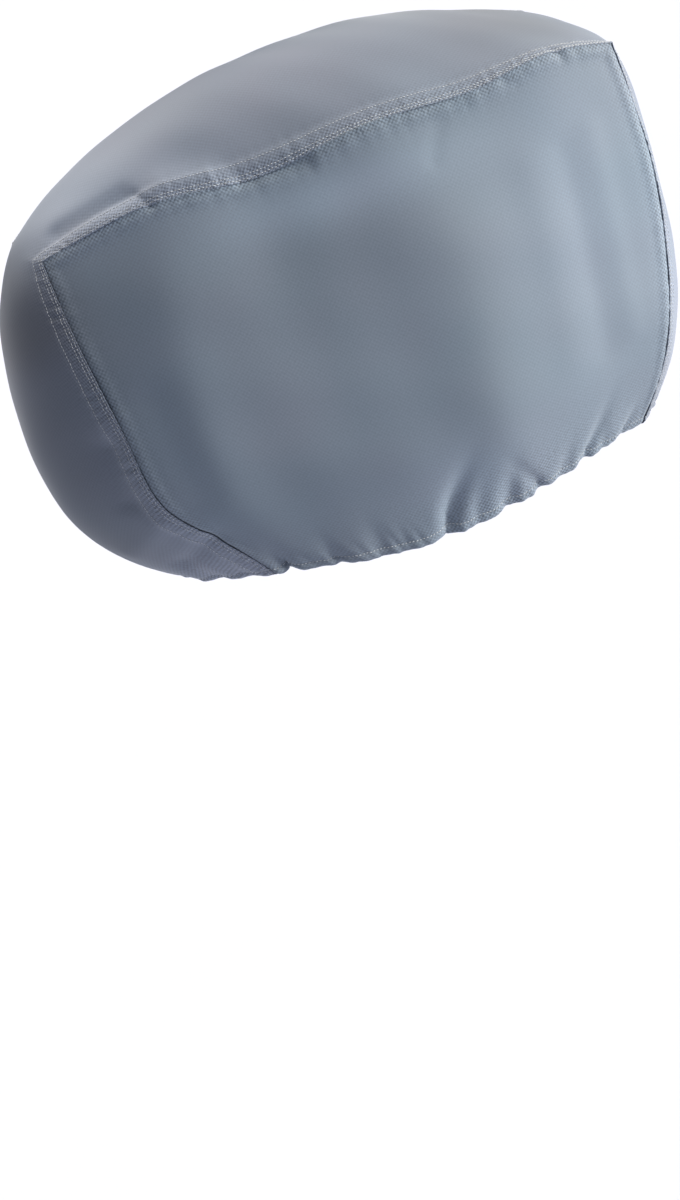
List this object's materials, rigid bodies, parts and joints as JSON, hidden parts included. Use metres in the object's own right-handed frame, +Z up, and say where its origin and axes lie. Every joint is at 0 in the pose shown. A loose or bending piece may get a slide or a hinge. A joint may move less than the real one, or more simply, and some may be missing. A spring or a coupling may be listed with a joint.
{
  "type": "outboard motor cover",
  "caption": "Fitted cloth cover that pulls down over an outboard motor's cowl and gathers under it at an elastic hem.",
  "frame": {"origin": "the top of the cowl, against the underside of the cover's top, on the middle plane", "axes": "+X forward towards the boat, +Y port, +Z up along the motor's leg"},
  "size_m": [0.6812, 0.386, 0.4776],
  "materials": {
    "band_cloth": "blue-grey coated polyester oxford cloth, matt with a faint sheen",
    "side_cloth": "the same blue-grey coated polyester oxford cloth"
  },
  "bodies": {
    "root": {"centre_band": "band_cloth", "side_panel_starboard": "side_cloth", "side_panel_port": "side_cloth"}
  },
  "joints": []
}
